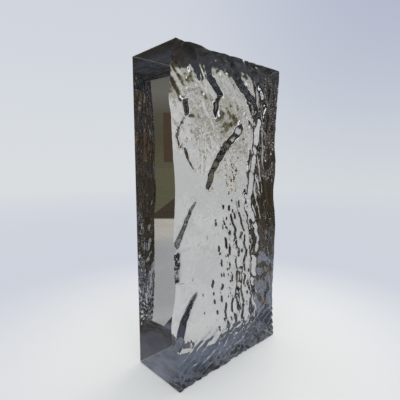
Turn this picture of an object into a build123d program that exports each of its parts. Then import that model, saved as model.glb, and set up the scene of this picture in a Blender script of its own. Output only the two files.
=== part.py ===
from build123d import *
from math import cos, exp, hypot, radians, sin, tau
import os

# Solid cast glass block standing on one end, in millimetres.
# +Z runs up its length, X across its width, and the cast relief faces -Y.
# The origin is the middle of the bottom end.
block_length = 200.0
block_width = 96.0
block_thickness = 42.0  # back face to the highest crest of the relief
arris_width = 0.5  # ground flat along each straight edge

# Long swells of the cast face: rise either way, crest to crest, heading and shift in degrees.
# A heading of 0 crosses the width and 90 runs up the length.
swells = [
    (0.50, 118.0, 74.0, 205.0),
    (0.40, 71.0, 28.0, 60.0),
    (0.34, 52.0, 101.0, 320.0),
    (0.26, 37.0, 141.0, 15.0),
    (0.20, 29.0, 55.0, 240.0),
    (0.15, 24.0, 8.0, 130.0),
]

# The skin lies this far under the front plane, rolls up to both ends, and its crests round off.
skin_depth = 2.6
crest_rounding = 3.6
top_roll = (2.2, 14.0)  # rise at the end, and the length over which it rolls up
bottom_roll = (2.0, 18.0)

# Tears in the skin, where the side to the right of the route stands proud: the rise at the top
# and at the bottom of the route, and the distance over which both sides settle back.
# Routes run downwards, as shares of the width from the left edge and of the length from the bottom.
tear_ramp = 5.6  # width of the slope between the low side and the proud side
tear_taper = 10.0  # length over which a tear dies out at its ends
tears = {
    "long": (4.2, 3.0, 12.0, [(0.60, 0.79), (0.42, 0.71), (0.32, 0.65), (0.26, 0.58)]),
    "left": (1.6, 3.4, 10.0, [(0.19, 0.575), (0.10, 0.52), (-0.02, 0.42)]),
    "chip": (2.6, 2.6, 6.0, [(0.0, 0.45), (0.012, 0.38), (0.0, 0.30)]),
    "hook": (2.0, 1.8, 5.0, [(0.12, 0.89), (0.10, 0.80), (0.04, 0.75), (0.07, 0.70), (0.19, 0.62)]),
    "low": (1.8, 3.6, 10.0, [(0.18, 0.29), (0.115, 0.24), (0.07, 0.18), (0.01, 0.11)]),
    "short": (2.4, 2.2, 8.0, [(0.67, 0.34), (0.59, 0.27), (0.61, 0.20), (0.64, 0.13)]),
    "top_first": (4.2, 2.2, 8.0, [(0.09, 1.0), (0.17, 0.955), (0.25, 0.89)]),
    "top_left": (4.4, 2.8, 8.0, [(0.27, 1.0), (0.32, 0.935), (0.385, 0.865), (0.36, 0.78)]),
    "top_middle": (4.2, 2.2, 8.0, [(0.45, 1.0), (0.55, 0.935), (0.63, 0.89), (0.69, 0.83)]),
    "top_right": (2.6, 2.0, 8.0, [(0.66, 1.0), (0.76, 0.91), (0.81, 0.86), (0.80, 0.79)]),
    "right": (
        2.8, 2.6, 10.0,
        [(0.83, 0.91), (0.76, 0.79), (0.70, 0.65), (0.74, 0.54), (0.77, 0.36), (0.76, 0.17)],
    ),
}

# Hollows where the skin sank: depth, radius, and the place in the same shares.
hollows = [
    (2.8, 15.0, 0.02, 0.875),
    (1.3, 15.0, 0.02, 0.21),
    (1.5, 19.0, 0.30, 0.97),
    (1.6, 18.0, 0.97, 0.62),
]

section_step = 5.0  # spacing of the sections and of the points along each one
section_overrun = 2.5  # past the block, so that it is trimmed midway between two sections

half_width = block_width / 2
front_plane = -block_thickness / 2
back_plane = block_thickness / 2


def faceplace(share_x, share_z):
    """Point of the face, in millimetres, from its shares of the width and length."""
    return share_x * block_width - half_width, share_z * block_length


def smoothstep(value):
    held = min(1.0, max(0.0, value))
    return held * held * (3 - 2 * held)


def tear(top_rise, end_rise, fade, route, x, z):
    """Height of one tear at a point: a slope along the route that settles on both sides."""
    corners = [faceplace(*share) for share in route]
    spans = [hypot(bx - ax, bz - az) for (ax, az), (bx, bz) in zip(corners, corners[1:])]
    nearest, side, along, passed = None, 0.0, 0.0, 0.0
    for (ax, az), (bx, bz), span in zip(corners, corners[1:], spans):
        run_x, run_z = (bx - ax) / span, (bz - az) / span
        reach = min(span, max(0.0, (x - ax) * run_x + (z - az) * run_z))
        gap = hypot(x - ax - reach * run_x, z - az - reach * run_z)
        if nearest is None or gap < nearest:
            # The route runs downwards, so the proud side lies to the left of its travel.
            nearest, along = gap, passed + reach
            side = 1.0 if (z - az) * run_x - (x - ax) * run_z > 0 else -1.0
        passed += span
    rise = top_rise + (end_rise - top_rise) * along / passed
    ends = smoothstep(along / tear_taper) * smoothstep((passed - along) / tear_taper)
    ends *= exp(-((max(0.0, nearest - tear_ramp / 2) / fade) ** 2))
    slope = 2 * smoothstep(0.5 + 0.5 * side * nearest / (tear_ramp / 2)) - 1
    return 0.5 * rise * slope * ends


def depth(x, z):
    """Depth of the cast face at a point, before its highest crest is set to the front plane."""
    height = 0.0
    for rise, spacing, heading, shift in swells:
        travel = x * cos(radians(heading)) + z * sin(radians(heading))
        height += rise * sin(tau * travel / spacing + radians(shift))
    for top_rise, end_rise, fade, route in tears.values():
        height += tear(top_rise, end_rise, fade, route, x, z)
    for sink, radius, share_x, share_z in hollows:
        mid_x, mid_z = faceplace(share_x, share_z)
        height -= sink * exp(-((hypot(x - mid_x, z - mid_z) / radius) ** 2))
    for (rise, width), inward in ((top_roll, block_length - z), (bottom_roll, z)):
        height += rise * smoothstep(1 - inward / width)
    under = skin_depth - height
    return (under + hypot(under, crest_rounding)) / 2


def stations(start, end, step):
    count = max(2, round((end - start) / step))
    return [start + (end - start) * index / count for index in range(count + 1)]


# Cast body: sections lofted up the length, each with a spline of the relief as its front.
columns = stations(-half_width - section_overrun, half_width + section_overrun, section_step)
levels = stations(-section_overrun, block_length + section_overrun, section_step)


def section(z):
    front = [Vector(x, depth(x, z), z) for x in columns]
    back_right, back_left = (Vector(x, 2 * block_thickness, z) for x in (columns[-1], columns[0]))
    corners = [front[-1], back_right, back_left, front[0]]
    straights = [Edge.make_line(a, b) for a, b in zip(corners, corners[1:])]
    return Wire([Edge.make_spline(front), *straights])


cast_body = Solid.make_loft([section(z) for z in levels])
highest_crest = cast_body.bounding_box().min.Y
cast_body = Pos(0, front_plane - highest_crest, 0) * cast_body

# Sawn and ground outline: every straight edge has its arris, the front edges stay as cast.
outline = Box(
    block_width, 2 * block_thickness, block_length,
    align=(Align.CENTER, Align.MAX, Align.MIN),
)
outline = Pos(0, back_plane, 0) * outline
depth_edges = outline.edges().filter_by(Axis.Y)
back_edges = outline.faces().sort_by(Axis.Y)[-1].edges()
outline = chamfer(depth_edges + back_edges, arris_width)

glass_block = (cast_body & outline).solids().sort_by(SortBy.VOLUME)[-1]
glass_block.label = "glass_block"
os.makedirs("parts", exist_ok=True)
export_step(glass_block, "parts/glass_block.step")
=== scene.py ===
import bpy
import bmesh
import math
import numpy as np
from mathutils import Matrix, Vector, noise


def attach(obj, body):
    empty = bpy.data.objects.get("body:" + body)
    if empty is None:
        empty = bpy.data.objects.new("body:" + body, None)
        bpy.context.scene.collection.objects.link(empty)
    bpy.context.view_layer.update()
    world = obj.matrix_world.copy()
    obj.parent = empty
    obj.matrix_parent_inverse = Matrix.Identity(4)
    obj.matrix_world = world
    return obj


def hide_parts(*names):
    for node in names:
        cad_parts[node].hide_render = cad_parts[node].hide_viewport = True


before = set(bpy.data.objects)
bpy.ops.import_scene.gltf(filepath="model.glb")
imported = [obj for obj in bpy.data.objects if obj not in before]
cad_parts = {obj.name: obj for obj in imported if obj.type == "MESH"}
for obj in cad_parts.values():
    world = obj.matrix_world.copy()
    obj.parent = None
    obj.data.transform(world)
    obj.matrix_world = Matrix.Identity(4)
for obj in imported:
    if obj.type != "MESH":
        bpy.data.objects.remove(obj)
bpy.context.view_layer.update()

mm = 0.001

# Outline of the block, as in the solid.
blockSizes = {
    "length": 200 * mm,
    "width": 96 * mm,
    "thickness": 42 * mm,
    "arris": 0.5 * mm,
    "skinDepth": 2.6 * mm,  # of the plain skin under the front plane
    "cellsAcross": 200,
    "cellsUp": 412,
}
halfWidth = blockSizes["width"] / 2
frontPlane = -blockSizes["thickness"] / 2
arrisCells = 2  # grid cells over one arris
weldDistance = 0.01 * mm

# Long forms of the cast face. Lengths without mm, here and in the tears, are in millimetres.
castForms = {
    "swells": [  # rise, crest to crest, heading and shift in degrees
        (0.50, 118.0, 74.0, 205.0),
        (0.40, 71.0, 28.0, 60.0),
        (0.34, 52.0, 101.0, 320.0),
        (0.26, 37.0, 141.0, 15.0),
        (0.20, 29.0, 55.0, 240.0),
        (0.15, 24.0, 8.0, 130.0),
    ],
    "sunkPlaces": [  # depth, radius, share of the width, share of the length
        (2.8, 15.0, 0.02, 0.875),
        (1.3, 15.0, 0.02, 0.21),
        (1.5, 19.0, 0.30, 0.97),
        (0.4, 18.0, 0.97, 0.62),
    ],
    "topRoll": (2.2, 14.0),  # rise and width of the roll towards each edge
    "bottomRoll": (2.0, 18.0),
    "rightRoll": (1.2, 13.0),
    "seed": 3,
    "ragged": 0.8 * mm,
    "raggedSize": 4.2 * mm,
    "tie": 0.001 * mm,  # distances this close count as equal
    "corner": 0.08,  # share of a ramp that rounds into the skin at each side
    "beadHeight": 0.34 * mm,  # links of the chain along each ramp
    "beadLength": 4.4 * mm,
    "beadLevel": 0.6,  # links stand out above this share, and the gaps between them sink in
    "beadWander": 9.0,
}

# Tears in the skin, where the side to the right of the route stands proud: rise and ramp at the
# top, rise and ramp at the bottom, taper, fade, and the route. A route runs downwards, as shares
# of the width from the left and of the length from the bottom.
tears = {
    "long": (5.0, 3.0, 3.0, 1.7, 9.0, 7.0, [(0.64, 0.81), (0.42, 0.71), (0.32, 0.65), (0.255, 0.575)]),
    "left": (1.3, 0.8, 4.0, 2.6, 6.0, 10.0, [(0.19, 0.575), (0.10, 0.52), (-0.02, 0.42)]),
    "chip": (3.2, 3.2, 3.2, 3.2, 3.0, 6.0, [(0.006, 0.43), (0.018, 0.38), (0.006, 0.32)]),
    "dash": (2.6, 1.8, 2.6, 1.8, 2.5, 3.0, [(0.118, 0.862), (0.122, 0.800)]),
    "hook": (
        1.8, 1.2, 1.2, 0.8, 3.0, 4.0,
        [(0.115, 0.81), (0.05, 0.775), (0.035, 0.745), (0.045, 0.72), (0.07, 0.715)],
    ),
    "slash": (2.4, 1.5, 1.2, 0.8, 4.0, 6.0, [(0.08, 0.73), (0.12, 0.68), (0.19, 0.64)]),
    "low": (2.2, 1.1, 4.4, 2.7, 5.0, 10.0, [(0.18, 0.29), (0.115, 0.24), (0.07, 0.18), (0.01, 0.11)]),
    "short": (
        2.6, 1.9, 2.4, 1.9, 6.0, 8.0,
        [(0.677, 0.315), (0.619, 0.307), (0.621, 0.267), (0.600, 0.226), (0.602, 0.164), (0.626, 0.134)],
    ),
    "topFirst": (4.6, 4.4, 2.0, 2.0, 3.0, 8.0, [(0.08, 1.01), (0.17, 0.955), (0.235, 0.905)]),
    "topLeft": (
        3.2, 2.6, 2.0, 1.4, 5.0, 8.0,
        [(0.27, 1.00), (0.30, 0.93), (0.385, 0.88), (0.335, 0.85), (0.345, 0.805)],
    ),
    "topMiddle": (
        3.6, 3.2, 2.0, 1.7, 6.0, 7.0,
        [(0.45, 1.00), (0.565, 0.931), (0.64, 0.902), (0.731, 0.875), (0.785, 0.82)],
    ),
    "topRight": (2.6, 2.6, 1.8, 1.8, 5.0, 7.0, [(0.70, 0.99), (0.80, 0.92), (0.855, 0.86), (0.845, 0.80)]),
    "right": (
        3.0, 2.4, 2.6, 2.4, 12.0, 10.0,
        [(0.81, 0.86), (0.765, 0.75), (0.72, 0.65), (0.69, 0.56), (0.69, 0.52), (0.76, 0.45),
         (0.80, 0.39), (0.76, 0.34), (0.755, 0.23), (0.73, 0.17)],
    ),
}


def easeStep(value):
    held = np.clip(value, 0.0, 1.0)
    return held * held * (3 - 2 * held)


def facePlace(shareX, shareZ):
    return shareX * blockSizes["width"] - halfWidth, shareZ * blockSizes["length"]


def routeField(route, x, z):
    # distance to a route, side of it (proud is 1), way along it, and its whole length
    corners = [facePlace(*share) for share in route]
    nearest = np.full(x.shape, np.inf)
    offside = np.zeros(x.shape)
    along = np.zeros(x.shape)
    passed = 0.0
    for (ax, az), (bx, bz) in zip(corners, corners[1:]):
        span = math.hypot(bx - ax, bz - az)
        runX, runZ = (bx - ax) / span, (bz - az) / span
        reach = np.clip((x - ax) * runX + (z - az) * runZ, 0, span)
        gap = np.hypot(x - ax - reach * runX, z - az - reach * runZ)
        cross = (z - az) * runX - (x - ax) * runZ
        # beyond a corner both runs are equally near, and the one seen more from the side decides
        tied = (np.abs(gap - nearest) < castForms["tie"]) & (np.abs(cross) > np.abs(offside))
        closer = (gap < nearest - castForms["tie"]) | tied
        nearest = np.where(closer, gap, nearest)
        along = np.where(closer, passed + reach, along)
        offside = np.where(closer, cross, offside)
        passed += span
    return nearest, np.where(offside > 0, 1.0, -1.0), along, passed


def tearHeight(tear, x, z, wander):
    # a slope along the route that settles on both sides, with a chain of beads on it
    topRise, topRamp, endRise, endRamp, taper, fade, route = tear
    nearest, side, along, passed = routeField(route, x, z)
    share = along / passed
    rise = (topRise + (endRise - topRise) * share) * mm
    ramp = (topRamp + (endRamp - topRamp) * share) * mm
    ends = easeStep(along / (taper * mm)) * easeStep((passed - along) / (taper * mm))
    ends = ends * np.exp(-(np.maximum(0.0, nearest - ramp / 2) / (fade * mm)) ** 2)
    slope = np.clip(side * nearest / (ramp / 2), -1, 1)
    links = np.abs(np.sin(math.pi * along / castForms["beadLength"] + castForms["beadWander"] * wander))
    bead = castForms["beadHeight"] * (links - castForms["beadLevel"]) * np.maximum(0, 1 - slope * slope)
    corner = castForms["corner"]
    slope = slope * (1 - corner * slope * slope) / (1 - corner)
    return (0.5 * rise * slope + bead) * ends


def longRelief(x, z):
    # height of the long forms over the plain skin
    height = np.zeros(x.shape)
    for rise, spacing, heading, shift in castForms["swells"]:
        travel = x * math.cos(math.radians(heading)) + z * math.sin(math.radians(heading))
        height += rise * mm * np.sin(2 * math.pi * travel / (spacing * mm) + math.radians(shift))
    noise.seed_set(castForms["seed"])  # without a seed, the vector noise differs from run to run
    warped = np.array([noise.noise_vector(Vector((px, 0, pz)) / castForms["raggedSize"])
                       for px, pz in zip(x.ravel(), z.ravel())]).reshape(*x.shape, 3)
    warpX = x + castForms["ragged"] * warped[..., 0]
    warpZ = z + castForms["ragged"] * warped[..., 2]
    for tear in tears.values():
        height += tearHeight(tear, warpX, warpZ, warped[..., 1])
    for depth, radius, shareX, shareZ in castForms["sunkPlaces"]:
        midX, midZ = facePlace(shareX, shareZ)
        height -= depth * mm * np.exp(-(np.hypot(x - midX, z - midZ) / (radius * mm)) ** 2)
    inwards = {"topRoll": blockSizes["length"] - z, "bottomRoll": z, "rightRoll": halfWidth - x}
    for name, inward in inwards.items():
        rise, width = castForms[name]
        height += rise * mm * easeStep(1 - inward / (width * mm))
    return height


def gridLine(start, end, cells, arris):
    # even spacing between the arrises, with one more line in the middle of each arris
    inner = np.linspace(start + arris, end - arris, cells + 1 - 2 * arrisCells)
    return np.concatenate([[start, start + arris / 2], inner, [end - arris / 2, end]])


def castGrid():
    # points of the cast face, with its corners cut off at 45 degrees by the arrises
    length, arris = blockSizes["length"], blockSizes["arris"]
    columns = gridLine(-halfWidth, halfWidth, blockSizes["cellsAcross"], arris)
    levels = gridLine(0.0, length, blockSizes["cellsUp"], arris)
    x, z = np.meshgrid(columns, levels, indexing="ij")
    y = frontPlane + blockSizes["skinDepth"] - longRelief(x, z)
    overX = np.maximum(0, np.abs(x) - (halfWidth - arris))
    overZ = np.maximum(0, np.abs(z - length / 2) - (length / 2 - arris))
    spill = np.maximum(0, overX + overZ - arris) / 2
    return x - np.sign(x) * spill, y, z - np.sign(z - length / 2) * spill


def frontRims(front):
    # the rim of the cast face, cut where each arris starts and ends, bottom edge first
    columnSpan, levelSpan = len(front) - 1, len(front[0]) - 1
    bottom, top = [column[0] for column in front], [column[-1] for column in front]
    ring = bottom + front[-1][1:] + top[-2::-1] + front[0][-2:0:-1]
    cuts, passed = [], 0
    for span in (columnSpan, levelSpan, columnSpan, levelSpan):
        cuts += [passed + arrisCells, passed + span - arrisCells]
        passed += span
    cuts.append(passed + arrisCells)
    ring += ring[:arrisCells + 1]
    return [ring[start:end + 1] for start, end in zip(cuts, cuts[1:])]


def addWalls(mesh, front):
    # each stretch of the rim runs back to the arris of the back face
    left, right, top, arris = -halfWidth, halfWidth, blockSizes["length"], blockSizes["arris"]
    back = -frontPlane
    outline = [
        (left + arris, 0), (right - arris, 0), (right, arris), (right, top - arris),
        (right - arris, top), (left + arris, top), (left, top - arris), (left, arris),
    ]
    deep = [mesh.verts.new((x, back - arris, z)) for x, z in outline]
    inset = [(min(max(x, left + arris), right - arris), min(max(z, arris), top - arris))
             for x, z in outline]
    corners = {place: mesh.verts.new((place[0], back, place[1])) for place in dict.fromkeys(inset)}
    flat = [corners[place] for place in inset]
    for index, rim in enumerate(frontRims(front)):
        following = (index + 1) % len(outline)
        mesh.faces.new([*rim[::-1], deep[index], deep[following]])
    for index in range(len(outline)):
        following = (index + 1) % len(outline)
        bevel = dict.fromkeys([deep[index], deep[following], flat[following], flat[index]])
        mesh.faces.new([*bevel][::-1])
    mesh.faces.new([*corners.values()][::-1])


def markShares(mesh):
    # which points the fine relief moves, and which faces are ground
    squareOn, forwards, quad = 0.9, -0.2, 4
    castShare = mesh.verts.layers.float.new("castShare")
    groundShare = mesh.faces.layers.float.new("groundShare")
    for face in mesh.faces:
        face.smooth = len(face.verts) <= quad and face.normal.y < forwards
        bevelled = max(abs(part) for part in face.normal) < squareOn
        face[groundShare] = float(not face.smooth and (bevelled or abs(face.normal.z) > squareOn))
        if face.smooth:
            for vertex in face.verts:
                vertex[castShare] = 1.0
    for edge in mesh.edges:
        if len({face.smooth for face in edge.link_faces}) > 1:
            edge.smooth = False


def buildBlank():
    # the block with its long forms, before the fine relief
    x, y, z = castGrid()
    across, up = x.shape
    mesh = bmesh.new()
    front = [[mesh.verts.new((x[i, j], y[i, j], z[i, j])) for j in range(up)] for i in range(across)]
    for column, following in zip(front, front[1:]):
        for j in range(up - 1):
            mesh.faces.new((column[j], following[j], following[j + 1], column[j + 1]))
    addWalls(mesh, front)
    bmesh.ops.remove_doubles(mesh, verts=mesh.verts, dist=weldDistance)
    bmesh.ops.recalc_face_normals(mesh, faces=mesh.faces)
    markShares(mesh)
    data = bpy.data.meshes.new("glassBlockBlank")
    mesh.to_mesh(data)
    mesh.free()
    print("blank:", across, "by", up, "points on the cast face,", len(tears), "tears")
    return data


class treeWriter:
    # short calls that each add one node and hand back its output socket
    def __init__(self, tree):
        self.nodes, self.links = tree.nodes, tree.links

    def plug(self, socket, value):
        if isinstance(value, bpy.types.NodeSocket):
            self.links.new(value, socket)
        else:
            socket.default_value = value

    def add(self, kind, *values, **settings):
        # one node, with its settings and the values of its first sockets
        node = self.nodes.new(kind)
        for name, setting in settings.items():
            setattr(node, name, setting)
        for socket, value in zip(node.inputs, values):
            self.plug(socket, value)
        return node

    def math(self, operation, *values):
        return self.add("ShaderNodeMath", *values, operation=operation).outputs[0]

    def times(self, first, second):
        return self.math("MULTIPLY", first, second)

    def plus(self, first, second):
        return self.math("ADD", first, second)

    def over(self, first, second):
        return self.math("DIVIDE", first, second)

    def line(self, value, slope, start):
        return self.math("MULTIPLY_ADD", value, slope, start)

    def larger(self, first, second):
        return self.math("MAXIMUM", first, second)

    def above(self, value, limit):
        return self.math("GREATER_THAN", value, limit)

    def below(self, value, limit):
        return self.math("LESS_THAN", value, limit)

    def span(self, value, start, full, least=0.0, most=1.0):
        # eased share of the way from start to full
        values = (value, start, full, least, most)
        return self.add("ShaderNodeMapRange", *values, interpolation_type="SMOOTHSTEP").outputs[0]

    def join(self, x, y, z):
        return self.add("ShaderNodeCombineXYZ", x, y, z).outputs[0]

    def apart(self, vector):
        return self.add("ShaderNodeSeparateXYZ", vector).outputs

    def dot(self, first, second):
        node = self.add("ShaderNodeVectorMath", first, second, operation="DOT_PRODUCT")
        return node.outputs["Value"]

    def scaled(self, vector, scale):
        node = self.add("ShaderNodeVectorMath", vector, operation="SCALE")
        self.plug(node.inputs["Scale"], scale)
        return node.outputs[0]

    def cloud(self, place, detail=2.0, rough=0.5):
        # noise from -1 to 1
        node = self.add("ShaderNodeTexNoise")
        for name, value in (("Vector", place), ("Scale", 1.0), ("Detail", detail), ("Roughness", rough)):
            self.plug(node.inputs[name], value)
        return self.line(node.outputs["Fac"], 2.0, -1.0)

    def patches(self, place, scale, levels):
        # share of soft patches where the noise passes from one level to the next
        return self.span(self.cloud(self.scaled(place, scale), rough=0.6), *levels)

    def mix(self, share, first, second, blend="MIX"):
        # the colour sockets of a Mix node are 6 and 7 going in, and 2 coming out
        node = self.add("ShaderNodeMix", share, data_type="RGBA", blend_type=blend)
        self.plug(node.inputs[6], first)
        self.plug(node.inputs[7], second)
        return node.outputs[2]

    def tint(self, colour, by):
        return self.mix(1.0, colour, by, blend="MULTIPLY")

    def shade(self, share, first, second):
        return self.add("ShaderNodeMixShader", share, first, second).outputs[0]

    def bounced(self, path, count):
        # 1 for rays that were mirrored at least so many times on their way
        return self.above(path.outputs["Glossy Depth"], count - 0.5)


# Fine relief of the cast face, with its lengths in millimetres. The seed shifts every pattern.
fineRelief = {
    "Ripple Height": 1.0, "Ripple Size": 15.0,
    "Swirl Height": 0.28, "Swirl Size": 3.2,
    "Crinkle Height": 0.45, "Crinkle Size": 4.6,
    "Dash Depth": 1.3, "Dash Size": 2.7, "Dash Level": -0.02, "Chain Spacing": 8.5,
    "Ridge Height": 1.5, "Ridge Size": 7.5,
    "Finger Height": 1.7, "Finger Size": 7.0,
    "Streak Height": 1.6, "Streak Spacing": 5.4, "Streak Lean": 0.6,
    "Edge Calm": 0.2,
    "Crest Rounding": 2.0,
    "Seed": 7.0,
}

# Each pattern's stretch up the length, its shift from the seed, and its noise's detail and roughness.
reliefPatterns = {
    "Ripple": (1.5, 0.3, 2.0, 0.5),
    "Swirl": (1.4, 2.7, 2.0, 0.5),
    "Crinkle": (1.3, 4.1, 2.0, 0.5),
    "Dash": (2.3, 8.8, 1.0, 0.5),
    "Ridge": (2.2, 9.7, 0.0, 0.5),
    "Finger": (2.6, 6.6, 1.5, 0.45),
}

# Patterns that only bend or break the others: size across, size up and shift from the seed.
helperPatterns = {
    "curl": (9.0, 9.0, 5.9),
    "lean": (7.0, 9.0, 3.3),
    "breaks": (9.0, 24.0, 2.2),
    "bend": (12.0, 9.0, 1.4),
    "torn": (6.0, 6.0, 7.4),
}

# Where each effect starts and is full, in millimetres from the middle across or from the bottom end
# up, and its least and most share where they aren't 0 and 1.
reliefReach = {
    "calmAcross": (20.0, 28.0),
    "crinkleAcross": (-14.0, 22.0),
    "crinkleUp": (112.0, 150.0),
    "cornerAcross": (4.0, 22.0),
    "cornerUp": (138.0, 160.0),
    "bottomUp": (15.0, 5.0),
    "topUp": (178.0, 192.0, 0.0, 1.8),
    "dashAcross": (-28.0, 2.0, 0.50, 0.0),
    "dashUp": (96.0, 132.0, 0.0, 0.6),
    "ridgeAcross": (15.0, 23.0),
    "ridgeRim": (47.5, 41.0, 0.15, 1.0),
    "fingerUp": (140.0, 182.0),
    "streakUp": (30.0, 14.0),
}

# How the patterns are bent and cut off.
reliefShaping = {
    "curlWidth": 3.0,
    "crinkleRight": 0.6,  # share of the crinkles on the right half
    "leanWidth": 1.6,
    "leanSlope": 0.16,
    "chainShare": -0.20,
    "dashEdge": 0.22,
    "foldLimit": 0.4,
    "foldSlope": -2.5,
    "breakLevels": (-0.45, 0.15, 0.5, 1.0),
    "fingerSlope": 0.75,
    "bendWidth": -5.0,
    "streakSlope": 0.5,
    "tornLevels": (-0.6, -0.1),
}


class reliefWriter(treeWriter):
    # adds the nodes of each effect of the fine relief, as heights in millimetres
    def __init__(self, tree):
        super().__init__(tree)
        self.into = self.add("NodeGroupInput").outputs
        self.place = self.apart(self.add("GeometryNodeInputPosition").outputs[0])
        self.x = self.times(self.place["X"], 1 / mm)
        self.z = self.times(self.place["Z"], 1 / mm)
        # the right edge keeps only ridges and a little of the rest
        self.calm = self.span(self.x, *reliefReach["calmAcross"], 1.0, self.into["Edge Calm"])
        upright = self.line(self.z, reliefShaping["leanSlope"], self.x)
        self.lean = self.line(self.helper("lean"), reliefShaping["leanWidth"], upright)

    def noiseAt(self, x, sizeX, sizeZ, shift, detail=2.0, rough=0.5):
        place = self.join(self.over(x, sizeX), self.plus(self.into["Seed"], shift), self.over(self.z, sizeZ))
        return self.cloud(place, detail, rough)

    def helper(self, name):
        return self.noiseAt(self.x, *helperPatterns[name])

    def pattern(self, name, x):
        stretch, *rest = reliefPatterns[name]
        size = self.into[f"{name} Size"]
        return self.noiseAt(x, size, self.times(size, stretch), *rest)

    def reach(self, name):
        along = self.z if name.endswith("Up") else self.x
        return self.span(along, *reliefReach[name])

    def ripples(self):
        return self.times(self.pattern("Ripple", self.x), self.into["Ripple Height"])

    def swirls(self):
        curl = self.times(self.helper("curl"), reliefShaping["curlWidth"])
        swirl = self.pattern("Swirl", self.plus(self.x, curl))
        return self.times(swirl, self.times(self.into["Swirl Height"], self.calm))

    def crinkles(self):
        # to the right, at the top and along the bottom
        right = self.times(self.times(self.reach("crinkleAcross"), reliefShaping["crinkleRight"]), self.calm)
        busy = self.larger(right, self.reach("crinkleUp"))
        busy = self.plus(busy, self.times(self.reach("cornerAcross"), self.reach("cornerUp")))
        busy = self.plus(busy, self.plus(self.reach("bottomUp"), self.reach("topUp")))
        return self.times(self.pattern("Crinkle", self.x), self.times(self.into["Crinkle Height"], busy))

    def dashes(self):
        # short upright pits in loose rows on the right half
        turn = self.times(self.over(self.lean, self.into["Chain Spacing"]), 2 * math.pi)
        chains = self.math("COSINE", turn)
        edge = self.line(chains, reliefShaping["chainShare"], self.into["Dash Level"])
        edge = self.plus(self.plus(edge, self.reach("dashAcross")), self.reach("dashUp"))
        pits = self.span(self.pattern("Dash", self.lean), edge, self.plus(edge, reliefShaping["dashEdge"]))
        return self.times(pits, self.times(self.into["Dash Depth"], self.times(self.calm, -1.0)))

    def ridges(self):
        # wavy and upright, near the right edge
        folds = self.math("ABSOLUTE", self.pattern("Ridge", self.lean))
        folds = self.math("MINIMUM", folds, reliefShaping["foldLimit"])
        wave = self.line(folds, reliefShaping["foldSlope"], 1.0)
        breaks = self.span(self.helper("breaks"), *reliefShaping["breakLevels"])
        band = self.times(self.reach("ridgeAcross"), self.reach("ridgeRim"))
        return self.times(self.times(wave, breaks), self.times(self.into["Ridge Height"], band))

    def fingers(self):
        # long and leaning, under the top end
        drift = self.line(self.z, reliefShaping["fingerSlope"], self.x)
        height = self.times(self.times(self.into["Finger Height"], self.reach("fingerUp")), self.calm)
        return self.times(self.pattern("Finger", drift), height)

    def streaks(self):
        # slanting, above the bottom end, each with a narrow side that faces down
        slope = self.line(self.x, reliefShaping["streakSlope"], self.times(self.z, -1.0))
        slant = self.line(self.helper("bend"), reliefShaping["bendWidth"], slope)
        turn = self.math("FRACT", self.over(slant, self.into["Streak Spacing"]))
        lean = self.into["Streak Lean"]
        climb = self.over(turn, lean)
        drop = self.over(self.math("SUBTRACT", 1.0, turn), self.math("SUBTRACT", 1.0, lean))
        torn = self.span(self.helper("torn"), *reliefShaping["tornLevels"])
        wave = self.times(self.math("MINIMUM", climb, drop), torn)
        return self.times(wave, self.times(self.into["Streak Height"], self.reach("streakUp")))

    def attribute(self, name):
        node = self.add("GeometryNodeInputNamedAttribute", data_type="FLOAT")
        node.inputs["Name"].default_value = name
        return node.outputs[0]


def buildReliefTree():
    group = bpy.data.node_groups.new("castFineRelief", "GeometryNodeTree")
    sockets = group.interface
    sockets.new_socket("Geometry", in_out="INPUT", socket_type="NodeSocketGeometry")
    for name in fineRelief:
        sockets.new_socket(name, in_out="INPUT", socket_type="NodeSocketFloat")
    for name in ("Clear Glass", "Ground Glass"):
        sockets.new_socket(name, in_out="INPUT", socket_type="NodeSocketMaterial")
    sockets.new_socket("Geometry", in_out="OUTPUT", socket_type="NodeSocketGeometry")
    tree = reliefWriter(group)
    total = tree.ripples()
    for effect in (tree.swirls, tree.crinkles, tree.dashes, tree.ridges, tree.fingers, tree.streaks):
        total = tree.plus(total, effect())
    # crests round off under the front plane, and only the cast face moves
    depth = tree.place["Y"]
    raised = tree.line(total, -mm, depth)
    held = tree.math("SMOOTH_MAX", raised, frontPlane, tree.times(tree.into["Crest Rounding"], mm))
    shift = tree.times(tree.math("SUBTRACT", held, depth), tree.attribute("castShare"))
    moved = tree.add("GeometryNodeSetPosition", tree.into["Geometry"])
    tree.plug(moved.inputs["Offset"], tree.join(0.0, shift, 0.0))
    real = tree.add("GeometryNodeRealizeInstances", moved.outputs[0])
    clear = tree.add("GeometryNodeSetMaterial", real.outputs[0])
    tree.plug(clear.inputs["Material"], tree.into["Clear Glass"])
    ground = tree.add("GeometryNodeSetMaterial", clear.outputs[0])
    tree.plug(ground.inputs["Selection"], tree.above(tree.attribute("groundShare"), 0.5))
    tree.plug(ground.inputs["Material"], tree.into["Ground Glass"])
    tree.add("NodeGroupOutput", ground.outputs[0])
    print("fine relief tree:", len(fineRelief), "inputs,", len(group.nodes), "nodes")
    return group


# Inputs of the patches that both materials share, and their plain values.
patchInputs = {
    "Scale": 100.0, "Detail": 3.0, "Roughness": 0.6,
    "From": -0.10, "To": 0.10, "Least": 0.0, "Most": 1.0,
}


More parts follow.
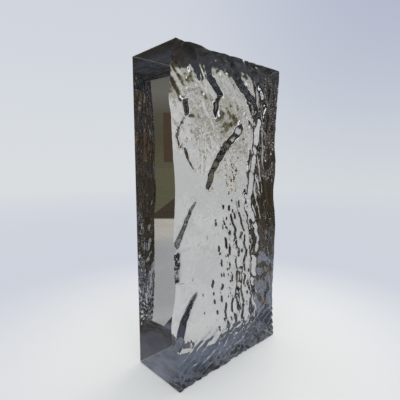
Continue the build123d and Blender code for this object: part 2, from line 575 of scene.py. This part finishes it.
def buildPatchGroup():
    # cloudy patches: the share from Least to Most, and the noise itself
    group = bpy.data.node_groups.new("cloudyPatches", "ShaderNodeTree")
    sockets = group.interface
    sockets.new_socket("Place", in_out="INPUT", socket_type="NodeSocketVector")
    for name, value in patchInputs.items():
        sockets.new_socket(name, in_out="INPUT", socket_type="NodeSocketFloat").default_value = value
    for name in ("Share", "Noise"):
        sockets.new_socket(name, in_out="OUTPUT", socket_type="NodeSocketFloat")
    tree = treeWriter(group)
    into = tree.add("NodeGroupInput").outputs
    grain = tree.cloud(tree.scaled(into["Place"], into["Scale"]), into["Detail"], into["Roughness"])
    share = tree.span(grain, *(into[name] for name in ("From", "To", "Least", "Most")))
    tree.add("NodeGroupOutput", share, grain)
    return group


def placePatches(tree, group, place, look):
    node = tree.add("ShaderNodeGroup", node_tree=group)
    tree.plug(node.inputs["Place"], place)
    for name, value in {**patchInputs, **look}.items():
        node.inputs[name].default_value = value
    return node.outputs


glassLook = {
    "colour": (0.93, 0.925, 0.92, 1),
    "ior": 1.5,
    "film": {"Scale": 60.0, "Detail": 4.0, "Roughness": 0.65, "From": 0.0, "To": 0.4},
    "filmColour": (0.895, 0.89, 0.88, 1),  # thin dust and hand marks
    "filmRoughness": 0.02,
    "absorbColour": (0.56, 0.57, 0.58, 1),
    "absorbDensity": 10.0,
    "shadowColour": (0.75, 0.78, 0.80, 1),
}


def makeClearGlass(patches):
    material = bpy.data.materials.new("clearCastGlass")
    material.use_nodes = True
    tree = treeWriter(material.node_tree)
    tree.nodes.clear()
    output = tree.add("ShaderNodeOutputMaterial")
    shader = tree.add("ShaderNodeBsdfPrincipled")
    place = tree.add("ShaderNodeTexCoord").outputs["Object"]
    film = placePatches(tree, patches, place, glassLook["film"])["Share"]
    tree.plug(shader.inputs["Base Color"], tree.mix(film, glassLook["colour"], glassLook["filmColour"]))
    tree.plug(shader.inputs["Roughness"], tree.times(film, glassLook["filmRoughness"]))
    shader.inputs["IOR"].default_value = glassLook["ior"]
    shader.inputs["Transmission Weight"].default_value = 1
    # rays to a lamp pass straight through, so the block's shadow stays light
    clear = tree.add("ShaderNodeBsdfTransparent", glassLook["shadowColour"])
    path = tree.add("ShaderNodeLightPath")
    surface = tree.shade(path.outputs["Is Shadow Ray"], shader.outputs[0], clear.outputs[0])
    tree.plug(output.inputs["Surface"], surface)
    absorb = tree.add("ShaderNodeVolumeAbsorption", glassLook["absorbColour"], glassLook["absorbDensity"])
    tree.plug(output.inputs["Volume"], absorb.outputs[0])
    return material


groundLook = {
    "topDark": (0.16, 0.172, 0.20, 1),
    "topLight": (0.28, 0.295, 0.34, 1),
    "topBrown": (0.094, 0.070, 0.053, 1),  # the same end towards the left
    "brownEdges": (-34 * mm, -8 * mm),
    # the bottom end is paler and bluer than the top: painted light from the pale floor under it
    "bottomDark": (0.21, 0.24, 0.325, 1),
    "bottomLight": (0.38, 0.425, 0.55, 1),
    "clouds": {"Scale": 60.0, "Detail": 4.0, "From": -0.3, "To": 0.3},
    "patches": {"Scale": 110.0},  # dark, in both ends, away from the left side
    "topPatch": (0.075, 0.073, 0.075, 1),
    "topPatchEdges": (-34 * mm, 34 * mm),
    "bottomPatch": (0.10, 0.105, 0.125, 1),
    "bottomPatchEdges": (4 * mm, 40 * mm),
    "frontPatches": {"Scale": 170.0, "Least": 0.25, "Most": 0.95},
    "frontPatch": (0.028, 0.027, 0.028, 1),
    "frontEdges": (-2 * mm, -12 * mm),
    # painted shade of the bottom end, where it is seen by way of another face
    "bounced": (0.080, 0.083, 0.096, 1),
    "bouncedShadeShare": 0.4,
    # pale arrises: a painted highlight where the chamfers catch light
    "arris": (0.80, 0.80, 0.70, 1),
    "arrisDepth": 0.04 * mm,  # how far under an end its arris starts
    "speck": {"Scale": 900.0, "Detail": 2.0},
    "speckStrength": 0.3,
    "speckHeight": 0.05 * mm,
    "roughness": 0.6,
}


def makeGroundGlass(patches):
    # fine ground glass: slate on the two ends, a painted highlight on the paler arrises, with a fine speckle
    material = bpy.data.materials.new("groundEnd")
    material.use_nodes = True
    tree = treeWriter(material.node_tree)
    shader = tree.nodes["Principled BSDF"]
    place = tree.add("ShaderNodeTexCoord").outputs["Object"]
    x, y, z = tree.apart(place)

    def patchesOf(name, output="Share"):
        return placePatches(tree, patches, place, groundLook[name])[output]

    cloudy, patchy = patchesOf("clouds"), patchesOf("patches")
    upper = tree.mix(cloudy, groundLook["topDark"], groundLook["topLight"])
    upper = tree.mix(tree.span(x, *groundLook["brownEdges"]), groundLook["topBrown"], upper)
    upperPatches = tree.times(patchy, tree.span(x, *groundLook["topPatchEdges"]))
    upper = tree.mix(upperPatches, upper, groundLook["topPatch"])
    # painted light: the bottom end takes paler, bluer colours than the top
    paintedBottom = tree.mix(cloudy, groundLook["bottomDark"], groundLook["bottomLight"])
    lowerPatches = tree.times(patchy, tree.span(x, *groundLook["bottomPatchEdges"]))
    paintedBottom = tree.mix(lowerPatches, paintedBottom, groundLook["bottomPatch"])
    # painted shade: the bottom end is painted darker where it is seen by way of another face
    path = tree.add("ShaderNodeLightPath")
    bounced = tree.times(tree.bounced(path, 1), groundLook["bouncedShadeShare"])
    paintedBottom = tree.mix(bounced, paintedBottom, groundLook["bounced"])
    middle = blockSizes["length"] / 2
    ends = tree.mix(tree.below(z, middle), upper, paintedBottom)
    # towards the cast face both ends are darker and broken into small patches
    broken = tree.times(patchesOf("frontPatches"), tree.span(y, *groundLook["frontEdges"]))
    ends = tree.mix(broken, ends, groundLook["frontPatch"])
    # the arrises take the pale colour, a painted highlight
    fromMiddle = tree.math("ABSOLUTE", tree.math("SUBTRACT", z, middle))
    arrisHighlight = tree.below(fromMiddle, middle - groundLook["arrisDepth"])
    tree.plug(shader.inputs["Base Color"], tree.mix(arrisHighlight, ends, groundLook["arris"]))
    shader.inputs["Roughness"].default_value = groundLook["roughness"]
    bump = tree.add("ShaderNodeBump")
    bump.inputs["Strength"].default_value = groundLook["speckStrength"]
    bump.inputs["Distance"].default_value = groundLook["speckHeight"]
    tree.plug(bump.inputs["Height"], patchesOf("speck", "Noise"))
    tree.plug(shader.inputs["Normal"], bump.outputs[0])
    return material


def castBlock():
    holder = bpy.data.objects.new("castBlank", buildBlank())
    bpy.context.collection.objects.link(holder)
    patches = buildPatchGroup()
    clear, ground = makeClearGlass(patches), makeGroundGlass(patches)
    print("materials:", clear.name, "and", ground.name)
    modifier = holder.modifiers.new("fineRelief", "NODES")
    modifier.node_group = buildReliefTree()
    values = {**fineRelief, "Clear Glass": clear, "Ground Glass": ground}
    for item in modifier.node_group.interface.items_tree:
        if item.in_out == "INPUT" and item.name in values:
            modifier[item.identifier] = values[item.name]
    evaluated = holder.evaluated_get(bpy.context.evaluated_depsgraph_get())
    finished = bpy.data.meshes.new_from_object(evaluated)
    finished.name = "castBlock"
    bpy.data.objects.remove(holder)
    block = bpy.data.objects.new("castBlock", finished)
    bpy.context.collection.objects.link(block)
    under = min(vertex.co.y for vertex in finished.vertices) - frontPlane
    print("cast block:", len(finished.polygons), "faces, highest crest",
          round(under / mm, 2), "mm under the front plane")
    return block


block = castBlock()
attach(block, "root")
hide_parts("glass_block")

# Directions over the floor: the camera's heading, and the one to its right.
ahead = (0.6862, 0.7274, 0.0)
aside = (ahead[1], -ahead[0], 0.0)
plainWhite = (1, 1, 1, 1)

# What the camera itself sees of the floor and the backdrop.
backdropLook = {
    "floorColour": (0.815, 0.825, 0.815, 1),
    "floorFar": (0.617, 0.645, 0.716, 1),
    "floorReach": (0.25, 1.6),  # where the floor beyond the block turns into the lowest of the heights
    "floorFades": (0.06, 0.26),  # where the lit floor turns into the backdrop, from the block's middle
    "floorSize": 6.0,
    "floorDrop": 0.1 * mm,  # a hair under the bottom end, so that the two never share a plane
    "heights": [  # sine of the height above the horizon, and the colour there
        (-0.02, (0.690, 0.720, 0.745, 1)), (0.10, (0.680, 0.712, 0.750, 1)),
        (0.45, (0.617, 0.650, 0.723, 1)),
    ],
    "rightTint": (0.72, 0.74, 0.83, 1),  # both turn bluer towards the right and upwards
    "tintSides": (-0.15, 0.50),
    "tintHeights": (-0.30, 0.45),
    "eyeHeight": 0.135,
    "softColour": (0.98, 0.99, 1.0, 1),
    "softLight": 0.60,
}

# What the glass shows around it: pale ahead, dim to the sides. Sides are sines to the right of
# ahead, and heights are sines above the horizon.
sideLook = {
    "leastLevel": 0.001,  # keeps the sides finite straight up and down
    "backdropLeft": (-0.62, -0.50),  # where the dim sides take over from the backdrop
    "backdropRight": (0.26, 0.36, 1.0, 0.0),
    "backdropBands": [
        (-0.30, (0.750, 0.760, 0.775, 1)), (-0.05, (0.740, 0.745, 0.755, 1)),
        (0.14, (0.650, 0.650, 0.645, 1)), (0.25, (0.520, 0.510, 0.460, 1)),
        (0.31, (0.190, 0.180, 0.120, 1)), (0.38, (0.050, 0.043, 0.036, 1)),
        (0.70, (0.030, 0.034, 0.042, 1)),
    ],
    "mottleScale": 9.0,
    "mottleLevels": (-0.35, 0.35),
    "mottleDark": (0.86, 0.86, 0.85, 1),
    "mottleLight": (1.10, 1.10, 1.10, 1),
    "upperHeights": (-0.10, 0.04),  # warm patches in the upper right of the backdrop
    "upperSides": (-0.25, 0.05),
    "upperScale": 13.0,
    "upperLevels": (0.0, 0.22),
    "upperMottle": (0.42, 0.40, 0.31, 1),
    "glow": (1.15, 1.20, 1.30, 1),  # light along the backdrop's two edges
    "glowSides": [(-0.42, -0.48, -0.60, -0.66), (0.26, 0.31, 0.38, 0.43)],
    "rightBands": [
        (-0.12, (0.172, 0.166, 0.100, 1)), (0.00, (0.160, 0.152, 0.092, 1)),
        (0.07, (0.128, 0.124, 0.080, 1)), (0.14, (0.148, 0.140, 0.104, 1)),
        (0.20, (0.250, 0.240, 0.212, 1)), (0.45, (0.070, 0.075, 0.090, 1)),
    ],
    "brown": (0.115, 0.078, 0.052, 1),  # a square brown patch in the right side
    "brownEdge": -0.167,
    "brownHeights": (0.0, 0.145),
    "leftBands": [
        (-0.30, (0.105, 0.112, 0.130, 1)), (-0.05, (0.070, 0.060, 0.050, 1)),
        (0.06, (0.060, 0.042, 0.028, 1)), (0.16, (0.045, 0.040, 0.036, 1)),
        (0.30, (0.035, 0.036, 0.042, 1)), (0.60, (0.030, 0.033, 0.040, 1)),
    ],
    "blotchScale": 14.0,
    "blotchLevels": (-0.15, 0.25),
    "blotchWarm": (1.5, 1.15, 0.90, 1),
    "blotchCool": (0.75, 0.85, 1.15, 1),
    "spotScale": 11.0,  # sparse pale spots in the left side, seen only from inside the block: painted glints in the glass
    "spotLevels": (0.14, 0.27),
    "spot": (0.75, 0.78, 0.82, 1),
    "spotDeepLoss": 0.6,
    "behind": (0.035, 0.028, 0.022, 1),  # the dark behind the camera, as tears show it
    "behindEdge": -0.35,
    "behindWidth": 0.8,
}

# What the glass shows of the floor. Distances are in metres from the block's middle.
tableLook = {
    "nearest": (0.61, 0.62, 0.63, 1),
    "colours": [  # to the right, the pale table first and then a dim floor: start, full and colour
        (0.05, 0.08, (0.57, 0.585, 0.60, 1)), (0.26, 0.44, (0.76, 0.73, 0.65, 1)),
        (0.54, 0.565, (0.085, 0.068, 0.050, 1)), (1.0, 1.2, (0.180, 0.174, 0.102, 1)),
    ],
    "even": (-0.35, 0.35, 0.5, 1.0),  # the table shows only the lighter half of the mottle
    "starts": (0.04, 0.09),  # nearer than this the glass shows the lit floor itself
    "leftEdge": -0.02,
    "leftSlope": -1.1,  # how fast the left edge opens out ahead
    "leftReach": (0.12, 0.40),
    "slate": (0.19, 0.215, 0.275, 1),  # the table after one bounce inside the block
    "slateFar": (0.060, 0.050, 0.034, 1),
    "slateReach": (0.17, 0.27),
    "slateDeep": (0.38, 0.405, 0.46, 1),  # after two bounces, as the strip along the left side shows it
    "slateBrown": (0.055, 0.042, 0.033, 1),
    "brownScale": 12.0,
    "brownLevels": (-0.05, 0.20),
    "turnedEdge": 0.02,  # ahead of this line, and on the left, one bounce is enough for the slate
    "turnedSlope": 0.2,
    "nearBrown": (0.19, 0.135, 0.100, 1),  # the floor on the camera's side, close to the block
    "nearDark": (0.030, 0.024, 0.018, 1),
    "nearReach": (0.09, 0.17),
    "nearEdge": -0.10,
    "cameraEdge": -0.05,
    "cameraSlope": 0.6,
}


def bandRamp(tree, value, bands):
    # a colour ramp over a list of heights and colours
    low, high = bands[0][0], bands[-1][0]
    node = tree.add("ShaderNodeValToRGB", tree.over(tree.math("SUBTRACT", value, low), high - low))
    ramp = node.color_ramp
    while len(ramp.elements) < len(bands):
        ramp.elements.new(0.5)
    for element, (height, colour) in zip(ramp.elements, bands):
        element.position = (height - low) / (high - low)
        element.color = colour
    return node.outputs[0]


def paleBackdrop(tree, direction, height, sideways):
    pale = bandRamp(tree, height, sideLook["backdropBands"])
    mottle = tree.patches(direction, sideLook["mottleScale"], sideLook["mottleLevels"])
    pale = tree.tint(pale, tree.mix(mottle, sideLook["mottleDark"], sideLook["mottleLight"]))
    upper = tree.times(tree.span(height, *sideLook["upperHeights"]),
                       tree.span(sideways, *sideLook["upperSides"]))
    warm = tree.times(upper, tree.patches(direction, sideLook["upperScale"], sideLook["upperLevels"]))
    return tree.tint(pale, tree.mix(warm, plainWhite, sideLook["upperMottle"]))


def edgeGlow(tree, sideways):
    glow = 0.0
    for inner, innerFull, outerFull, outer in sideLook["glowSides"]:
        strip = tree.times(tree.span(sideways, inner, innerFull), tree.span(sideways, outer, outerFull))
        glow = tree.larger(strip, glow)
    return glow


def rightSide(tree, height, level, toAhead):
    dim = bandRamp(tree, height, sideLook["rightBands"])
    brown = tree.above(toAhead, tree.times(level, sideLook["brownEdge"]))
    low, high = sideLook["brownHeights"]
    brown = tree.times(brown, tree.times(tree.above(height, low), tree.below(height, high)))
    return tree.mix(brown, dim, sideLook["brown"])


def leftSide(tree, direction, height, path):
    dim = bandRamp(tree, height, sideLook["leftBands"])
    blotches = tree.patches(direction, sideLook["blotchScale"], sideLook["blotchLevels"])
    dim = tree.tint(dim, tree.mix(blotches, sideLook["blotchCool"], sideLook["blotchWarm"]))
    # only rays from inside the block see the pale spots, which paint glints into the glass
    inside = tree.above(path.outputs["Transmission Depth"], 0.5)
    paintedGlints = tree.times(inside, tree.patches(direction, sideLook["spotScale"], sideLook["spotLevels"]))
    kept = tree.line(tree.bounced(path, 2), -sideLook["spotDeepLoss"], 1.0)
    return tree.mix(tree.times(paintedGlints, kept), dim, sideLook["spot"])


def glassView(tree, direction, path):
    # what the glass sees around it
    height = tree.apart(direction)["Z"]
    level = tree.line(tree.times(height, height), -1.0, 1.0)
    level = tree.math("SQRT", tree.larger(level, sideLook["leastLevel"]))
    toAhead = tree.dot(direction, ahead)
    sideways = tree.over(tree.dot(direction, aside), level)
    forward = tree.above(toAhead, 0.0)
    straight = tree.math("SUBTRACT", 1.0, tree.bounced(path, 1))
    toLeft = tree.larger(tree.bounced(path, 2), tree.below(sideways, 0.0))
    right, left = rightSide(tree, height, level, toAhead), leftSide(tree, direction, height, path)
    dim = tree.mix(toLeft, right, left)
    behind = tree.below(toAhead, tree.times(level, sideLook["behindEdge"]))
    middle = tree.below(tree.math("ABSOLUTE", sideways), sideLook["behindWidth"])
    dim = tree.mix(tree.times(behind, middle), dim, sideLook["behind"])
    facing = tree.times(tree.span(sideways, *sideLook["backdropLeft"]),
                        tree.span(sideways, *sideLook["backdropRight"]))
    facing = tree.times(tree.times(facing, forward), straight)
    view = tree.mix(facing, dim, paleBackdrop(tree, direction, height, sideways))
    glow = tree.times(tree.times(edgeGlow(tree, sideways), forward), straight)
    return tree.mix(glow, view, sideLook["glow"])


def rightTint(tree, sideways, height):
    toRight = tree.times(tree.span(sideways, *backdropLook["tintSides"]),
                         tree.span(height, *backdropLook["tintHeights"]))
    return tree.mix(toRight, plainWhite, backdropLook["rightTint"])


def slateView(tree, place, right, distance, nearFloor, path):
    # the table as rays see it that bounced inside the block
    deep = tree.bounced(path, 2)
    reach = tableLook["slateReach"]
    slate = tree.mix(tree.span(distance, *reach), tableLook["slate"], tableLook["slateFar"])
    brown = tree.patches(place, tableLook["brownScale"], tableLook["brownLevels"])
    brown = tree.times(brown, tree.math("SUBTRACT", 1.0, deep))
    slate = tree.mix(brown, slate, tableLook["slateBrown"])
    deepNear = tree.times(deep, tree.below(distance, reach[1]))
    return tree.mix(deepNear, slate, tree.mix(tree.above(right, 0.0), nearFloor, tableLook["slateDeep"]))


def tableView(tree, place, distance, path):
    # what the glass sees of the floor: its colour, and where that takes the lit floor's place
    right, near = tree.dot(place, aside), tree.dot(place, ahead)
    seen = tableLook["nearest"]
    for start, full, colour in tableLook["colours"]:
        seen = tree.mix(tree.span(right, start, full), seen, colour)
    leftColours = (colour for height, colour in sideLook["leftBands"][:2])
    leftFloor = tree.mix(tree.span(distance, *tableLook["leftReach"]), *leftColours)
    leftEdge = tree.line(near, tableLook["leftSlope"], tableLook["leftEdge"])
    onLeft = tree.below(right, leftEdge)
    seen = tree.mix(onLeft, seen, leftFloor)
    nearReach = tree.span(distance, *tableLook["nearReach"])
    nearFloor = tree.mix(nearReach, tableLook["nearBrown"], tableLook["nearDark"])
    slate = slateView(tree, place, right, distance, nearFloor, path)
    turnedLine = tree.line(right, tableLook["turnedSlope"], tableLook["turnedEdge"])
    turned = tree.larger(tree.below(right, 0.0), tree.above(near, turnedLine))
    dimmed = tree.larger(tree.bounced(path, 2), tree.times(tree.bounced(path, 1), turned))
    seen = tree.mix(dimmed, seen, tree.mix(tree.above(near, 0.0), nearFloor, slate))
    # on the camera's side: the dim floor to the right, and the near floor in front of the block
    nearer = tree.times(tree.below(near, tableLook["nearEdge"]), tree.above(right, 0.0))
    seen = tree.mix(nearer, seen, sideLook["rightBands"][0][1])
    dimmed = tree.larger(onLeft, dimmed)
    toCamera = tree.line(tree.math("ABSOLUTE", right), tableLook["cameraSlope"], near)
    cameraSide = tree.times(tree.below(toCamera, tableLook["cameraEdge"]), tree.larger(dimmed, nearer))
    seen = tree.mix(cameraSide, seen, nearFloor)
    mottle = tree.patches(place, sideLook["mottleScale"], tableLook["even"])
    seen = tree.tint(seen, tree.mix(mottle, sideLook["mottleDark"], sideLook["mottleLight"]))
    return seen, tree.larger(dimmed, tree.span(distance, *tableLook["starts"]))


def buildFloor():
    size, low = backdropLook["floorSize"], -backdropLook["floorDrop"]
    corners = [(-size, -size, low), (size, -size, low), (size, size, low), (-size, size, low)]
    data = bpy.data.meshes.new("floorSheet")
    data.from_pydata(corners, [], [(0, 1, 2, 3)])
    floor = bpy.data.objects.new("floorSheet", data)
    bpy.context.collection.objects.link(floor)
    material = bpy.data.materials.new("paleFloor")
    material.use_nodes = True
    data.materials.append(material)
    tree = treeWriter(material.node_tree)
    tree.nodes.clear()
    output = tree.add("ShaderNodeOutputMaterial")
    place = tree.add("ShaderNodeTexCoord").outputs["Object"]
    distance = tree.add("ShaderNodeVectorMath", place, operation="LENGTH").outputs["Value"]
    # the sheet runs up into the backdrop a hand behind the block
    reach = tree.span(distance, *backdropLook["floorReach"])
    far = tree.mix(reach, backdropLook["floorFar"], backdropLook["heights"][0][1])
    sideways = tree.over(tree.dot(place, aside), distance)
    sunk = tree.over(-backdropLook["eyeHeight"], distance)
    far = tree.add("ShaderNodeEmission", tree.tint(far, rightTint(tree, sideways, sunk)))
    lit = tree.add("ShaderNodeBsdfDiffuse", backdropLook["floorColour"])
    away = tree.span(distance, *backdropLook["floorFades"])
    pale = tree.shade(away, lit.outputs[0], far.outputs[0])
    # in the glass it is the table and the dim floor beyond its edges
    path = tree.add("ShaderNodeLightPath")
    through = tree.larger(path.outputs["Is Transmission Ray"], path.outputs["Is Glossy Ray"])
    through = tree.times(through, tree.math("SUBTRACT", 1.0, path.outputs["Is Camera Ray"]))
    seen, share = tableView(tree, place, distance, path)
    inGlass = tree.add("ShaderNodeEmission", seen)
    surface = tree.shade(tree.times(through, share), pale, inGlass.outputs[0])
    tree.plug(output.inputs["Surface"], surface)
    print("floor:", len(tree.nodes), "nodes in its material")


def buildWorld():
    world = bpy.data.worlds.new("softRoom")
    bpy.context.scene.world = world
    world.use_nodes = True
    tree = treeWriter(world.node_tree)
    tree.nodes.clear()
    output = tree.add("ShaderNodeOutputWorld")
    direction = tree.add("ShaderNodeTexCoord").outputs["Generated"]
    path = tree.add("ShaderNodeLightPath")
    height = tree.apart(direction)["Z"]
    plain = bandRamp(tree, height, backdropLook["heights"])
    plain = tree.tint(plain, rightTint(tree, tree.dot(direction, aside), height))
    seen = tree.mix(path.outputs["Is Camera Ray"], glassView(tree, direction, path), plain)
    seenSky = tree.add("ShaderNodeBackground", seen)
    softSky = tree.add("ShaderNodeBackground", backdropLook["softColour"], backdropLook["softLight"])
    surface = tree.shade(path.outputs["Is Diffuse Ray"], seenSky.outputs[0], softSky.outputs[0])
    tree.plug(output.inputs["Surface"], surface)
    print("world:", len(tree.nodes), "nodes")


lampSetups = {
    "keyLamp": {"place": (-0.6, -0.5, 0.9), "size": 1.2, "power": 4},
    "fillLamp": {"place": (0.7, 0.2, 0.8), "size": 0.7, "power": 5},
}
lampAim = (0, 0, 0.1)

cameraSetup = {
    "lens": 29.42,
    "sensorWidth": 36,
    "clipStart": 0.01,
    "place": (-0.16118, -0.15938, 0.13536),
    "turn": (83.379, 0.211, -43.323),  # degrees
}


def buildLamp(name, setup):
    data = bpy.data.lights.new(name, "AREA")
    data.shape = "RECTANGLE"
    data.size = data.size_y = setup["size"]
    data.energy = setup["power"]
    lamp = bpy.data.objects.new(name, data)
    bpy.context.collection.objects.link(lamp)
    lamp.visible_transmission = False
    lamp.location = setup["place"]
    lamp.rotation_euler = (Vector(lampAim) - Vector(setup["place"])).to_track_quat("-Z", "Y").to_euler()


def buildCamera():
    data = bpy.data.cameras.new("camera")
    data.lens = cameraSetup["lens"]
    data.sensor_width = cameraSetup["sensorWidth"]
    data.clip_start = cameraSetup["clipStart"]
    camera = bpy.data.objects.new("camera", data)
    bpy.context.collection.objects.link(camera)
    camera.location = cameraSetup["place"]
    camera.rotation_euler = [math.radians(angle) for angle in cameraSetup["turn"]]
    bpy.context.scene.camera = camera


buildFloor()
buildWorld()
for name, setup in lampSetups.items():
    buildLamp(name, setup)
buildCamera()
print("lamps:", len(lampSetups), "and the camera")

scene = bpy.context.scene
scene.view_settings.view_transform = "Standard"
bounceLimits = {"max_bounces": 24, "transmission_bounces": 20, "glossy_bounces": 20}
for name, limit in bounceLimits.items():
    setattr(scene.cycles, name, limit)
